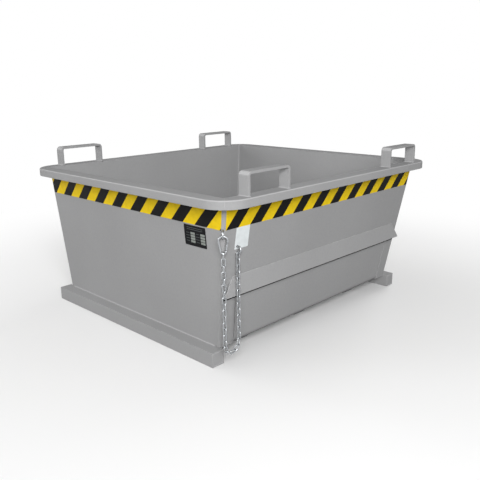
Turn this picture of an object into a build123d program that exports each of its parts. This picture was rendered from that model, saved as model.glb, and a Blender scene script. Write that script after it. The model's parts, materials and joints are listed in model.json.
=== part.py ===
from build123d import *
import os
from math import asin, cos, floor, hypot, pi, radians, sin, sqrt, tan

# Bottom-opening container for fork trucks and cranes, in millimetres.
# X runs along the discharge side, Y from that side (negative) to the back, Z up from the ground.
# A tapered hopper stands on two base rails. Its floor and the lower half of its front wall are one
# L-shaped flap, hung on a rod behind the front lip and held shut by two hooks at the back.

# Hopper
RIM_LENGTH = 1200.0
RIM_WIDTH = 1115.0
RIM_TOP = 560.0
RIM_OVERHANG = 50.0
RIM_DROP = 28.0
RIM_SHEET = 5.0
RIM_CORNER = 90.0
RIM_BEND = 4.0
WALL_SHEET = 3.0
WALL_CORNER = 10.0
WALL_RETURN = 65.0
END_TAPER = 5.0
FRONT_TAPER = 9.5
BACK_TAPER = 2.0

# Base rails and the plates that close the hopper's front corners
RAIL_SIZE = 50.0
RAIL_SHEET = 4.0
RAIL_FRONT_REACH = 18.0
RAIL_BACK_REACH = 10.0
SILL_SHEET = 3.0
SILL_DEPTH = 50.0

# Fork lugs on the rim
LUG_LENGTH = 190.0
LUG_HEIGHT = 74.0
LUG_WIDTH = 40.0
LUG_BAR = 8.0
LUG_BEND = 14.0
LUG_SETBACK = 13.0
LUG_END_INSET = 207.0

# Warning tape under the rim; each slant is how far a stripe runs on over the tape's height,
# each lead how far the first stripe starts before the strip
TAPE_HEIGHT = 74.0
TAPE_FILM = 0.6
TAPE_LONG_STRIPE = 52.0
TAPE_LONG_SLANT = 54.0
TAPE_LONG_LEAD = 21.0
TAPE_END_STRIPE = 56.0
TAPE_END_SLANT = 72.0
TAPE_END_LEAD = 58.0

# Lip that covers the flap hinge
LIP_TOP_DEPTH = 263.0
LIP_HEIGHT = 66.0
LIP_FLARE = 18.0
LIP_SHEET = 4.0
LIP_TOP_SETBACK = 50.0

# Flap hinge
HINGE_RISE = 3.0
HINGE_WALL_GAP = 14.0
ROD_RADIUS = 8.0
SLEEVE_RADIUS = 13.0
SLEEVE_SEAT = 0.05
HINGE_FIT = 0.08
HINGE_LIP_GAP = 1.5
HINGE_SIDE_GAP = 1.5
BRACKET_SHEET = 10.0
BRACKET_EDGE = 16.0
BRACKET_LAND = 3.0
BRACKET_NOTCH_GAP = 2.0

# Flap
FLAP_SHEET = 4.0
FLAP_TOP_GAP = 4.0
FLAP_GAP = 4.0
FLAP_FRONT_BEND = 20.0
FLAP_BACK_BEND = 6.0
FLAP_BACK_REACH = 10.0
FLAP_BACK_FLANGE = 30.0
FLAP_NOTCH_DEPTH = 58.0
RUNNER_WIDTH = 60.0
RUNNER_SHEET = 4.0
RUNNER_EDGE = 168.0
RUNNER_FRONT_INSET = 30.0
RUNNER_BACK_INSET = 24.0
EDGE_BAR_SHEET = 8.0
EDGE_BAR_INSET = 6.0
EDGE_BAR_HEIGHT = 30.0

# Latch bar with hooks, and the strikers on the flap
LATCH_STANDOFF = 20.0
LATCH_RISE = 20.0
LATCH_RADIUS = 8.0
LATCH_THROW = 32.0
LATCH_FIT = 0.05
LATCH_BEARING_SHEET = 8.0
LATCH_BEARING_RADIUS = 16.0
LATCH_BEARING_OFFSET = 40.0
LATCH_BEARING_INNER = 130.0
LATCH_BEARING_EDGE = 43.0
LATCH_BEARING_RISE = 34.0
HOOK_X = 300.0
HOOK_SHEET = 10.0
HOOK_BOSS = 17.0
HOOK_WALL = 10.0
HOOK_PIN_GAP = 2.0
HOOK_NOSE = 9.0
HOOK_ARM_BASE = 2.0
HOOK_ARM_NECK = 13.0
STRIKER_DROP = 45.0
STRIKER_RADIUS = 8.0
STRIKER_SHEET = 8.0
STRIKER_SIDE_GAP = 3.0
STRIKER_MARGIN = 7.0
STRIKER_PIN_END = 3.0

# Release lever on the latch bar
LEVER_GAP = 16.0
LEVER_SHEET = 8.0
LEVER_LENGTH = 200.0
LEVER_WIDTH = 30.0
LEVER_BOSS = 18.0
LEVER_EYE = 7.0
WEIGHT_RADIUS = 30.0
WEIGHT_LENGTH = 30.0
WEIGHT_SETBACK = 50.0
WEIGHT_CHAMFER = 4.0
STOP_RADIUS = 7.0
STOP_REACH = 110.0
STOP_GAP = 0.3
STOP_END = 4.0

# Safety chain with its snap hook
EYE_WIRE = 3.0
EYE_SPREAD = 23.5
EYE_REACH = 9.0
EYE_ROOT = 12.0
CORNER_EYE_DEPTH = 123.5
SNAP_WIRE = 3.0
SNAP_STANDOFF = 10.0
SNAP_TOP_RADIUS = 14.0
SNAP_BOTTOM_RADIUS = 8.0
SNAP_LENGTH = 60.0
SNAP_SEAT_GAP = 0.3
SNAP_NOSE = 4.0
GATE_FOOT = 4.0
GATE_WIRE = 2.6
GATE_TIP_GAP = 0.7
GATE_PIN_RADIUS = 1.0
GATE_PIN_LENGTH = 7.0
GATE_TANG = 2.2
GATE_SLOT = 3.0
GATE_PIN_RISE = 4.2
GATE_FIT = 0.05
LINK_WIRE = 2.0
LINK_INNER_LENGTH = 21.0
LINK_INNER_WIDTH = 7.2
LINK_PLAY = 0.6
LINK_COUNT = 34
ANCHOR_INSET = 64.0
ANCHOR_DEPTH = 184.0
ANCHOR_STANDOFF = 8.0

END_SLOPE = tan(radians(END_TAPER))
FRONT_SLOPE = tan(radians(FRONT_TAPER))
BACK_SLOPE = tan(radians(BACK_TAPER))
WALL_X = RIM_LENGTH / 2 - RIM_OVERHANG
WALL_Y = RIM_WIDTH / 2 - RIM_OVERHANG
WALL_TOP = RIM_TOP - RIM_SHEET
LUG_CENTRE = RIM_LENGTH / 2 - LUG_END_INSET


def end_x(z):
    """Half length of the hopper, outside, at height z."""
    return WALL_X - (RIM_TOP - z) * END_SLOPE


def front_y(z):
    """Outside of the front wall at height z."""
    return -(WALL_Y - (RIM_TOP - z) * FRONT_SLOPE)


def back_y(z):
    """Outside of the back wall at height z."""
    return WALL_Y - (RIM_TOP - z) * BACK_SLOPE


def seam_x(z):
    """Edge of the end walls' returns at height z."""
    return end_x(z) - WALL_RETURN


def prism_x(profile, low, high):
    """A profile drawn in Y and Z, run along X from low to high."""
    return extrude(Plane.YZ.offset(low) * profile, high - low, dir=(1, 0, 0))


def prism_y(profile, low, high):
    """A profile drawn in X and Z, run along Y from low to high."""
    return extrude(Plane.XZ.offset(-low) * profile, high - low, dir=(0, 1, 0))


def rod_x(radius, y, z, low, high):
    """A round bar along X."""
    return prism_x(Pos(y, z) * Circle(radius), low, high)


def polygon(*points):
    return Polygon(*points, align=None)


os.makedirs("parts", exist_ok=True)


def save(name, shape):
    """Write one sub-part; a list is a group of separate solids."""
    if isinstance(shape, list):
        shape = Compound(shape)
    export_step(shape, os.path.join("parts", name + ".step"))


# Hopper walls
def hopper_section(z, inset):
    """Rounded outline of the hopper at height z, drawn in by inset."""
    front = front_y(z) + inset
    back = back_y(z) - inset
    outline = RectangleRounded(2 * (end_x(z) - inset), back - front, WALL_CORNER - inset)
    return Pos(0, (front + back) / 2, z) * outline


def hopper_block(inset, low, high):
    return loft([hopper_section(low, inset), hopper_section(high, inset)], ruled=True)


def end_region(side):
    """Everything beyond the seam of one end wall."""
    low = RAIL_SIZE - WALL_SHEET
    far = RIM_LENGTH / 2
    outline = polygon(
        (side * seam_x(low), low), (side * far, low), (side * far, RIM_TOP), (side * seam_x(RIM_TOP), RIM_TOP)
    )
    return prism_y(outline, -RIM_WIDTH / 2, RIM_WIDTH / 2)


LIP_TOP_Z = RIM_TOP - LIP_TOP_DEPTH
LIP_BOTTOM_Z = LIP_TOP_Z - LIP_HEIGHT
HINGE_Z = LIP_BOTTOM_Z + HINGE_RISE
FRONT_WALL_BOTTOM = HINGE_Z + SLEEVE_RADIUS + HINGE_WALL_GAP

hopper_outside = hopper_block(0, RAIL_SIZE, WALL_TOP)
hopper_depth = prism_x(
    polygon(
        (front_y(RAIL_SIZE), RAIL_SIZE), (back_y(RAIL_SIZE), RAIL_SIZE),
        (back_y(WALL_TOP), WALL_TOP), (front_y(WALL_TOP), WALL_TOP),
    ),
    -RIM_LENGTH / 2, RIM_LENGTH / 2,
)
hopper_length = prism_y(
    polygon(
        (-end_x(RAIL_SIZE), RAIL_SIZE), (end_x(RAIL_SIZE), RAIL_SIZE),
        (end_x(WALL_TOP), WALL_TOP), (-end_x(WALL_TOP), WALL_TOP),
    ),
    -RIM_WIDTH / 2, RIM_WIDTH / 2,
)
hopper_inside = hopper_block(WALL_SHEET, RAIL_SIZE - WALL_SHEET, RIM_TOP)
hopper_shell = hopper_outside - hopper_inside
left_region = end_region(-1)
right_region = end_region(1)
middle_walls = hopper_shell - left_region - right_region
front_side = Pos(0, -RIM_WIDTH / 2, (FRONT_WALL_BOTTOM + RIM_TOP) / 2) * Box(
    RIM_LENGTH, RIM_WIDTH, RIM_TOP - FRONT_WALL_BOTTOM
)
back_side = Pos(0, RIM_WIDTH / 2, RIM_TOP / 2) * Box(RIM_LENGTH, RIM_WIDTH, RIM_TOP)
front_wall = middle_walls & front_side
save("left_end_wall", hopper_shell & left_region)
save("right_end_wall", hopper_shell & right_region)
save("front_wall", front_wall)
save("back_wall", middle_walls & back_side)


# Rim, a flange turned out and down, mitred at the corners
def rim_ring():
    outline = RectangleRounded(RIM_LENGTH, RIM_WIDTH, RIM_CORNER)
    mouth = RectangleRounded(
        2 * (WALL_X - WALL_SHEET), 2 * (WALL_Y - WALL_SHEET), WALL_CORNER - WALL_SHEET
    )
    skirt_inside = RectangleRounded(
        RIM_LENGTH - 2 * RIM_SHEET, RIM_WIDTH - 2 * RIM_SHEET, RIM_CORNER - RIM_SHEET
    )
    flat = Pos(0, 0, RIM_TOP - RIM_SHEET) * extrude(outline - mouth, RIM_SHEET)
    skirt = Pos(0, 0, RIM_TOP - RIM_DROP) * extrude(outline - skirt_inside, RIM_DROP)
    ring = flat + skirt
    top_edge = ring.faces().sort_by(Axis.Z)[-1].outer_wire().edges()
    return fillet(top_edge, RIM_BEND)


def mitre_region(x_sign, y_sign):
    """One side of the rim, between two mitres at 45 degrees."""
    far_x = RIM_LENGTH / 2
    far_y = RIM_WIDTH / 2
    reach = RIM_OVERHANG + RIM_CORNER
    near_x = far_x - reach
    near_y = far_y - reach
    if x_sign:
        outline = polygon(
            (x_sign * far_x, -far_y), (x_sign * far_x, far_y),
            (x_sign * near_x, near_y), (x_sign * near_x, -near_y),
        )
    else:
        outline = polygon(
            (-far_x, y_sign * far_y), (far_x, y_sign * far_y),
            (near_x, y_sign * near_y), (-near_x, y_sign * near_y),
        )
    return extrude(Pos(0, 0, RIM_TOP - RIM_DROP) * outline, RIM_DROP, dir=(0, 0, 1))


rim = rim_ring()
save("rim_front", rim & mitre_region(0, -1))
save("rim_back", rim & mitre_region(0, 1))
save("rim_left", rim & mitre_region(-1, 0))
save("rim_right", rim & mitre_region(1, 0))


# Fork lugs, flat bar bent to an arch
def fork_lug(x_sign, y_sign):
    centre = RIM_WIDTH / 2 - LUG_SETBACK - LUG_WIDTH / 2
    outer = Rectangle(LUG_LENGTH, LUG_HEIGHT, align=(Align.CENTER, Align.MIN))
    inner = Rectangle(LUG_LENGTH - 2 * LUG_BAR, LUG_HEIGHT - LUG_BAR, align=(Align.CENTER, Align.MIN))
    outer = fillet(outer.vertices().sort_by(Axis.Y)[-2:], LUG_BEND)
    inner = fillet(inner.vertices().sort_by(Axis.Y)[-2:], LUG_BEND - LUG_BAR)
    arch = Pos(x_sign * LUG_CENTRE, RIM_TOP) * (outer - inner)
    return prism_y(arch, y_sign * centre - LUG_WIDTH / 2, y_sign * centre + LUG_WIDTH / 2)


for x_name, x_sign in (("left", -1), ("right", 1)):
    for y_name, y_sign in (("front", -1), ("back", 1)):
        save("fork_lug_" + y_name + "_" + x_name, fork_lug(x_sign, y_sign))


# Warning tape, slanted stripes cut from film, on all four walls
def wall_tapes():
    """For each wall: a plane on its outside at the tape's middle, the half length there, the tapers
    of the corners at its two ends, and its stripes."""
    z = RIM_TOP - RIM_DROP - TAPE_HEIGHT / 2
    front = radians(FRONT_TAPER)
    back = radians(BACK_TAPER)
    end = radians(END_TAPER)
    middle = (front_y(z) + back_y(z)) / 2
    half_x = end_x(z) - WALL_CORNER
    half_y = (back_y(z) - front_y(z)) / 2 - WALL_CORNER
    long_stripes = (TAPE_LONG_STRIPE, TAPE_LONG_SLANT, TAPE_LONG_LEAD)
    end_stripes = (TAPE_END_STRIPE, TAPE_END_SLANT, TAPE_END_LEAD)
    front_plane = Plane((0, front_y(z), z), x_dir=(1, 0, 0), z_dir=(0, -cos(front), -sin(front)))
    back_plane = Plane((0, back_y(z), z), x_dir=(-1, 0, 0), z_dir=(0, cos(back), -sin(back)))
    left_plane = Plane((-end_x(z), middle, z), x_dir=(0, -1, 0), z_dir=(-cos(end), 0, -sin(end)))
    right_plane = Plane((end_x(z), middle, z), x_dir=(0, 1, 0), z_dir=(cos(end), 0, -sin(end)))
    return (
        (front_plane, half_x, (end, end), long_stripes),
        (back_plane, half_x, (end, end), long_stripes),
        (left_plane, half_y, (back, front), end_stripes),
        (right_plane, half_y, (front, back), end_stripes),
    )


def tape_stripes(plane, half, tapers, stripes):
    """One strip, its ends parallel to the wall's corners, as yellow stripes and black ones."""
    stripe, slant, lead = stripes
    low = -TAPE_HEIGHT / 2
    high = TAPE_HEIGHT / 2
    left_lean = high * tan(tapers[0])
    right_lean = high * tan(tapers[1])
    strip = polygon(
        (left_lean - half, low), (half - right_lean, low),
        (half + right_lean, high), (-half - left_lean, high),
    )
    first = floor((lead - left_lean - slant / 2) / stripe)
    last = floor((2 * half + lead - right_lean + slant / 2) / stripe)
    colours = ([], [])
    for index in range(first, last + 1):
        left = -half - lead + index * stripe
        right = left + stripe
        outline = strip & polygon(
            (left - slant / 2, low), (right - slant / 2, low),
            (right + slant / 2, high), (left + slant / 2, high),
        )
        colours[index % 2].append(extrude(plane * outline, TAPE_FILM))
    return colours


tape_yellow = []
tape_black = []
for wall_tape in wall_tapes():
    yellow, black = tape_stripes(*wall_tape)
    tape_yellow += yellow
    tape_black += black
save("warning_tape_yellow", tape_yellow)
save("warning_tape_black", tape_black)

# Base rails, square tube with end caps, under the end walls
RAIL_INSIDE_X = end_x(RAIL_SIZE) - WALL_SHEET
RAIL_FRONT = front_y(RAIL_SIZE) - RAIL_FRONT_REACH
RAIL_BACK = back_y(RAIL_SIZE) + RAIL_BACK_REACH
rail_outline = Rectangle(RAIL_SIZE, RAIL_SIZE)
rail_bore = Rectangle(RAIL_SIZE - 2 * RAIL_SHEET, RAIL_SIZE - 2 * RAIL_SHEET)
rail_caps = []
for name, side in (("left", -1), ("right", 1)):
    place = Pos(side * (RAIL_INSIDE_X + RAIL_SIZE / 2), RAIL_SIZE / 2)
    save("base_rail_" + name, prism_y(place * (rail_outline - rail_bore), RAIL_FRONT, RAIL_BACK))
    rail_caps.append(prism_y(place * rail_bore, RAIL_FRONT, RAIL_FRONT + RAIL_SHEET))
    rail_caps.append(prism_y(place * rail_bore, RAIL_BACK - RAIL_SHEET, RAIL_BACK))
save("rail_end_caps", rail_caps)

# Sill plates, from each front return to its rail, just above the flap
SILL_FRONT = front_y(RAIL_SIZE)
FLAP_TOP = RAIL_SIZE - FLAP_TOP_GAP
FLAP_NOTCH_X = seam_x(FLAP_TOP) - FLAP_GAP
sill_plates = []
for side in (-1, 1):
    outer = side * RAIL_INSIDE_X
    inner = side * seam_x(RAIL_SIZE)
    outline = polygon(
        (inner, SILL_FRONT), (outer, SILL_FRONT),
        (outer, SILL_FRONT + SILL_DEPTH), (inner, SILL_FRONT + SILL_DEPTH),
    )
    sill_plates.append(extrude(Pos(0, 0, RAIL_SIZE - SILL_SHEET) * outline, SILL_SHEET, dir=(0, 0, 1)))
save("sill_plates", sill_plates)

# Front lip, flared off the front wall over the hinge, with mitred ends
LIP_TOP_Y = front_y(LIP_TOP_Z)
LIP_BOTTOM_Y = front_y(LIP_BOTTOM_Z) - LIP_FLARE
LIP_LENGTH = hypot(LIP_TOP_Y - LIP_BOTTOM_Y, LIP_TOP_Z - LIP_BOTTOM_Z)
LIP_LEAN = (LIP_TOP_Y - LIP_BOTTOM_Y) / LIP_LENGTH
LIP_RISE = (LIP_TOP_Z - LIP_BOTTOM_Z) / LIP_LENGTH
lip_plane = Plane((0, LIP_BOTTOM_Y, LIP_BOTTOM_Z), x_dir=(1, 0, 0), z_dir=(0, -LIP_RISE, LIP_LEAN))
lip_foot = end_x(LIP_BOTTOM_Z)
lip_head = end_x(LIP_TOP_Z) - LIP_TOP_SETBACK
lip_outline = polygon((-lip_foot, 0), (lip_foot, 0), (lip_head, LIP_LENGTH), (-lip_head, LIP_LENGTH))
front_lip = extrude(lip_plane * lip_outline, -LIP_SHEET) - hopper_depth
save("front_lip", front_lip)


def lip_inner_y(z):
    """Hidden face of the lip at height z."""
    slope = (LIP_TOP_Y - LIP_BOTTOM_Y) / (LIP_TOP_Z - LIP_BOTTOM_Z)
    return LIP_BOTTOM_Y + (z - LIP_BOTTOM_Z) * slope + LIP_SHEET / LIP_RISE


# Hinge rod behind the lip, carried by brackets on the front wall
HINGE_Y = lip_inner_y(HINGE_Z) + HINGE_LIP_GAP + SLEEVE_RADIUS
BRACKET_OUTER_X = seam_x(HINGE_Z) - FLAP_GAP - BRACKET_EDGE
BRACKET_X = (-BRACKET_OUTER_X, -BRACKET_OUTER_X / 3, BRACKET_OUTER_X / 3, BRACKET_OUTER_X)
rod_end = BRACKET_OUTER_X + BRACKET_SHEET / 2
save("hinge_rod", rod_x(ROD_RADIUS, HINGE_Y, HINGE_Z, -rod_end, rod_end))

bracket_outline = polygon(
    (HINGE_Y + SLEEVE_RADIUS, HINGE_Z),
    (front_y(FRONT_WALL_BOTTOM), FRONT_WALL_BOTTOM + BRACKET_LAND),
    (front_y(LIP_TOP_Z), LIP_TOP_Z),
    (lip_inner_y(FRONT_WALL_BOTTOM), FRONT_WALL_BOTTOM),
    (HINGE_Y - SLEEVE_RADIUS, HINGE_Z),
) + Pos(HINGE_Y, HINGE_Z) * Circle(SLEEVE_RADIUS)
bracket_outline -= Pos(HINGE_Y, HINGE_Z) * Circle(ROD_RADIUS + HINGE_FIT)
hinge_brackets = []
for x in BRACKET_X:
    plate = prism_x(bracket_outline, x - BRACKET_SHEET / 2, x + BRACKET_SHEET / 2)
    hinge_brackets.append(plate - hopper_depth - front_lip)
save("hinge_brackets", hinge_brackets)

# Flap sheet: lower front wall, floor and turned-down back edge from one bent sheet
FLAP_WALL_TOP = HINGE_Z
FLAP_SHEET_Y = FLAP_SHEET / cos(radians(FRONT_TAPER))
FLAP_UNDER = FLAP_TOP - FLAP_SHEET
FLAP_HALF = RAIL_INSIDE_X - FLAP_GAP
FLAP_BACK_Y = back_y(RAIL_SIZE) + FLAP_BACK_REACH


def bend(sketch, point, radius):
    """Round the corner of a sketch that is nearest to point."""
    corner = sketch.vertices().sort_by_distance(point + (0,))[0]
    return fillet(corner, radius)


def flap_profile():
    front_outer = (front_y(FLAP_UNDER), FLAP_UNDER)
    front_inner = (front_y(FLAP_TOP) + FLAP_SHEET_Y, FLAP_TOP)
    back_outer = (FLAP_BACK_Y, FLAP_TOP)
    back_inner = (FLAP_BACK_Y - FLAP_SHEET, FLAP_UNDER)
    flange_low = FLAP_TOP - FLAP_SHEET - FLAP_BACK_FLANGE
    profile = polygon(
        (front_y(FLAP_WALL_TOP), FLAP_WALL_TOP),
        front_outer,
        back_inner,
        (FLAP_BACK_Y - FLAP_SHEET, flange_low),
        (FLAP_BACK_Y, flange_low),
        back_outer,
        front_inner,
        (front_y(FLAP_WALL_TOP) + FLAP_SHEET_Y, FLAP_WALL_TOP),
    )
    profile = bend(profile, front_outer, FLAP_FRONT_BEND + FLAP_SHEET)
    profile = bend(profile, front_inner, FLAP_FRONT_BEND)
    profile = bend(profile, back_outer, FLAP_BACK_BEND + FLAP_SHEET)
    return bend(profile, back_inner, FLAP_BACK_BEND)


def flap_sheet():
    sheet = prism_x(flap_profile(), -FLAP_HALF, FLAP_HALF)
    notch_back = SILL_FRONT + FLAP_NOTCH_DEPTH
    for side in (-1, 1):
        beside_wall = polygon(
            (side * FLAP_NOTCH_X, 0),
            (side * RIM_LENGTH / 2, 0),
            (side * RIM_LENGTH / 2, RIM_TOP),
            (side * (seam_x(RIM_TOP) - FLAP_GAP), RIM_TOP),
            (side * FLAP_NOTCH_X, FLAP_TOP),
        )
        sheet -= prism_y(beside_wall, -RIM_WIDTH / 2, notch_back)
    sheet -= rod_x(SLEEVE_RADIUS + SLEEVE_SEAT, HINGE_Y, HINGE_Z, -FLAP_HALF, FLAP_HALF)
    for x in BRACKET_X:
        reach = BRACKET_SHEET / 2 + BRACKET_NOTCH_GAP
        sheet -= rod_x(SLEEVE_RADIUS + BRACKET_NOTCH_GAP, HINGE_Y, HINGE_Z, x - reach, x + reach)
    return sheet


save("flap_sheet", flap_sheet())

# Hinge sleeves along the top of the flap, between the brackets
hinge_sleeves = []
for start, end in zip(BRACKET_X[:-1], BRACKET_X[1:]):
    gap = BRACKET_SHEET / 2 + HINGE_SIDE_GAP
    tube = Pos(HINGE_Y, HINGE_Z) * (Circle(SLEEVE_RADIUS) - Circle(ROD_RADIUS + HINGE_FIT))
    hinge_sleeves.append(prism_x(tube, start + gap, end - gap))
save("hinge_sleeves", hinge_sleeves)

# Runners under the floor, channels with a slanted nose, and bars along its edges
RUNNER_FRONT = front_y(FLAP_UNDER) + RUNNER_FRONT_INSET
RUNNER_BACK = FLAP_BACK_Y - FLAP_SHEET - RUNNER_BACK_INSET


def flap_runner(x):
    side_view = polygon(
        (RUNNER_FRONT + FLAP_UNDER, 0), (RUNNER_BACK, 0),
        (RUNNER_BACK, FLAP_UNDER), (RUNNER_FRONT, FLAP_UNDER),
    )
    hollow = polygon(
        (RUNNER_FRONT + FLAP_UNDER, RUNNER_SHEET), (RUNNER_BACK, RUNNER_SHEET),
        (RUNNER_BACK, FLAP_UNDER), (RUNNER_FRONT + RUNNER_SHEET, FLAP_UNDER),
    )
    half = RUNNER_WIDTH / 2
    block = prism_x(side_view, x - half, x + half)
    return block - prism_x(hollow, x - half + RUNNER_SHEET, x + half - RUNNER_SHEET)


for name, index in (("left", -1), ("middle", 0), ("right", 1)):
    save("flap_runner_" + name, flap_runner(index * (FLAP_HALF - RUNNER_EDGE)))

bar_low = FLAP_UNDER - EDGE_BAR_HEIGHT
bar_front = SILL_FRONT + FLAP_NOTCH_DEPTH
bar_back = FLAP_BACK_Y - FLAP_SHEET - FLAP_BACK_BEND
edge_bars = []
for side in (-1, 1):
    x = side * (FLAP_HALF - EDGE_BAR_INSET - EDGE_BAR_SHEET / 2)
    outline = polygon(
        (bar_front + EDGE_BAR_HEIGHT, bar_low), (bar_back, bar_low),
        (bar_back, FLAP_UNDER), (bar_front, FLAP_UNDER),
    )
    edge_bars.append(prism_x(outline, x - EDGE_BAR_SHEET / 2, x + EDGE_BAR_SHEET / 2))
save("flap_edge_bars", edge_bars)

# Strikers on the flap's back edge, a pin between two plates for each hook
LATCH_Y = back_y(RAIL_SIZE) + LATCH_STANDOFF
LATCH_Z = RAIL_SIZE + LATCH_RISE
STRIKER_Z = LATCH_Z - STRIKER_DROP
plate_reach = STRIKER_RADIUS + STRIKER_MARGIN
striker_outline = polygon(
    (FLAP_BACK_Y, STRIKER_Z - plate_reach), (LATCH_Y, STRIKER_Z - plate_reach),
    (LATCH_Y, STRIKER_Z + plate_reach), (FLAP_BACK_Y, STRIKER_Z + plate_reach),
) + Pos(LATCH_Y, STRIKER_Z) * Circle(plate_reach)
striker_outline &= Pos(FLAP_BACK_Y + plate_reach, STRIKER_Z) * Rectangle(2 * plate_reach, 2 * plate_reach)
striker_outline -= Pos(LATCH_Y, STRIKER_Z) * Circle(STRIKER_RADIUS + LATCH_FIT)
striker_plates = []
striker_pins = []
for side in (-1, 1):
    near = HOOK_SHEET / 2 + STRIKER_SIDE_GAP
    far = near + STRIKER_SHEET
    centre = side * HOOK_X
    striker_plates.append(prism_x(striker_outline, centre - far, centre - near))
    striker_plates.append(prism_x(striker_outline, centre + near, centre + far))
    end = far + STRIKER_PIN_END
    striker_pins.append(rod_x(STRIKER_RADIUS, LATCH_Y, STRIKER_Z, centre - end, centre + end))
save("striker_plates", striker_plates)
save("striker_pins", striker_pins)


# Latch bar across the back, its bearings on the back wall and its two hooks
def bearing_outline():
    top = LATCH_Z + LATCH_BEARING_RISE
    low = RAIL_SIZE
    ear = Pos(LATCH_Y, LATCH_Z) * Circle(LATCH_BEARING_RADIUS)
    arm = polygon(
        (back_y(low), low),
        (LATCH_Y, LATCH_Z - LATCH_BEARING_RADIUS),
        (LATCH_Y + LATCH_BEARING_RADIUS, LATCH_Z),
        (back_y(top), top),
    )
    return arm + ear - Pos(LATCH_Y, LATCH_Z) * Circle(LATCH_RADIUS + LATCH_FIT)


bearing_outer = HOOK_X + LATCH_BEARING_OFFSET
bearing_end = end_x(RAIL_SIZE) - LATCH_BEARING_EDGE
latch_bearings = []
for x in (-bearing_outer, -LATCH_BEARING_INNER, LATCH_BEARING_INNER, bearing_outer, bearing_end):
    half = LATCH_BEARING_SHEET / 2
    latch_bearings.append(prism_x(bearing_outline(), x - half, x + half) - hopper_depth)
save("latch_bearings", latch_bearings)

lever_low = end_x(LATCH_Z + LEVER_LENGTH) + LEVER_GAP
lever_high = lever_low + LEVER_SHEET
bar_left = -bearing_outer - LATCH_BEARING_SHEET
bar_right = lever_high + LEVER_SHEET / 2
save("latch_bar", rod_x(LATCH_RADIUS, LATCH_Y, LATCH_Z, bar_left, bar_right))


def about_latch(profile, turn):
    """Place a profile drawn about the latch bar, turned about it."""
    return Pos(LATCH_Y, LATCH_Z) * Rot(0, 0, turn) * profile


def hook_outline():
    """Hook drawn shut, round the striker pin below the bar."""
    inner = STRIKER_RADIUS + HOOK_PIN_GAP
    outer = inner + HOOK_WALL
    claw = Circle(outer) - Circle(inner)
    claw &= polygon((-HOOK_NOSE, -outer), (outer, -outer), (outer, 0), (-HOOK_NOSE, 0))
    arm = polygon(
        (inner, -HOOK_ARM_BASE), (outer, -HOOK_ARM_BASE), (HOOK_BOSS, STRIKER_DROP),
        (-HOOK_BOSS, STRIKER_DROP), (inner, HOOK_ARM_NECK),
    )
    pin_path = Circle(STRIKER_DROP + inner) - Circle(STRIKER_DROP - inner)
    pin_path &= polygon(
        (-STRIKER_DROP, 0), (-STRIKER_DROP, -2 * STRIKER_DROP), (0, -2 * STRIKER_DROP), (0, 0)
    )
    hook = Pos(0, -STRIKER_DROP) * (claw + arm) + Circle(HOOK_BOSS)
    return hook - pin_path - Circle(LATCH_RADIUS + LATCH_FIT)


for name, side in (("left", -1), ("right", 1)):
    half = HOOK_SHEET / 2
    outline = about_latch(hook_outline(), LATCH_THROW)
    save("latch_hook_" + name, prism_x(outline, side * HOOK_X - half, side * HOOK_X + half))


# Release lever, thrown over towards the front, with its weight and the stop that it leans on
def lever_outline():
    shank = polygon(
        (-LEVER_WIDTH / 2, 0), (LEVER_WIDTH / 2, 0),
        (LEVER_WIDTH / 2, LEVER_LENGTH), (-LEVER_WIDTH / 2, LEVER_LENGTH),
    )
    lever = shank + Circle(LEVER_BOSS) + Pos(0, LEVER_LENGTH) * Circle(LEVER_WIDTH / 2)
    return lever - Circle(LATCH_RADIUS + LATCH_FIT) - Pos(0, LEVER_LENGTH) * Circle(LEVER_EYE)


LEVER_LEAN = LATCH_THROW / 2
save("release_lever", prism_x(about_latch(lever_outline(), LEVER_LEAN), lever_low, lever_high))

weight_outline = about_latch(Pos(0, LEVER_LENGTH - WEIGHT_SETBACK) * Circle(WEIGHT_RADIUS), LEVER_LEAN)
weight = prism_x(weight_outline, lever_high, lever_high + WEIGHT_LENGTH)
weight = chamfer(weight.faces().sort_by(Axis.X)[-1].edges(), WEIGHT_CHAMFER)
save("lever_weight", weight)

stop_offset = LEVER_WIDTH / 2 + STOP_GAP + STOP_RADIUS
stop_outline = about_latch(Pos(-stop_offset, STOP_REACH) * Circle(STOP_RADIUS), LEVER_LEAN)
lever_stop = prism_x(stop_outline, end_x(RAIL_SIZE), lever_high + STOP_END) - hopper_length
save("lever_stop", lever_stop)


# Round wire of the eyes, hook and chain, drawn through sections along its centre line
WIRE_SIDES = 10
LINK_SIDES = 6
LINK_BOW_STEPS = 4
EYE_BOW_STEPS = 6
SNAP_BOW_STEPS = 8


def wire(stations, radius, sides):
    """Wire through (x, y, direction) stations in a plane."""
    sections = []
    for x, y, turn in stations:
        section = Plane((x, y, 0), x_dir=(0, 0, 1), z_dir=(cos(turn), sin(turn), 0))
        sections.append(section * RegularPolygon(radius, sides))
    return loft(sections, ruled=True)


def bow(x, y, radius, start, end, steps):
    """Stations round an arc that turns left, from one direction angle to another about its centre."""
    stations = []
    for step in range(steps + 1):
        turn = start + (end - start) * step / steps
        stations.append((x + radius * cos(turn), y + radius * sin(turn), turn + pi / 2))
    return stations


# Wire eyes for the chain, one on the front left corner and one on the front wall
def wire_eye(plane):
    """A U of round wire along the plane's x axis, with its roots still inside the wall."""
    half = EYE_SPREAD / 2
    stations = [(-EYE_ROOT, 0, 0)]
    stations += bow(EYE_REACH, half, half, -pi / 2, pi / 2, EYE_BOW_STEPS)
    stations.append((-EYE_ROOT, EYE_SPREAD, pi))
    return plane * wire(stations, EYE_WIRE, WIRE_SIDES)


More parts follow.
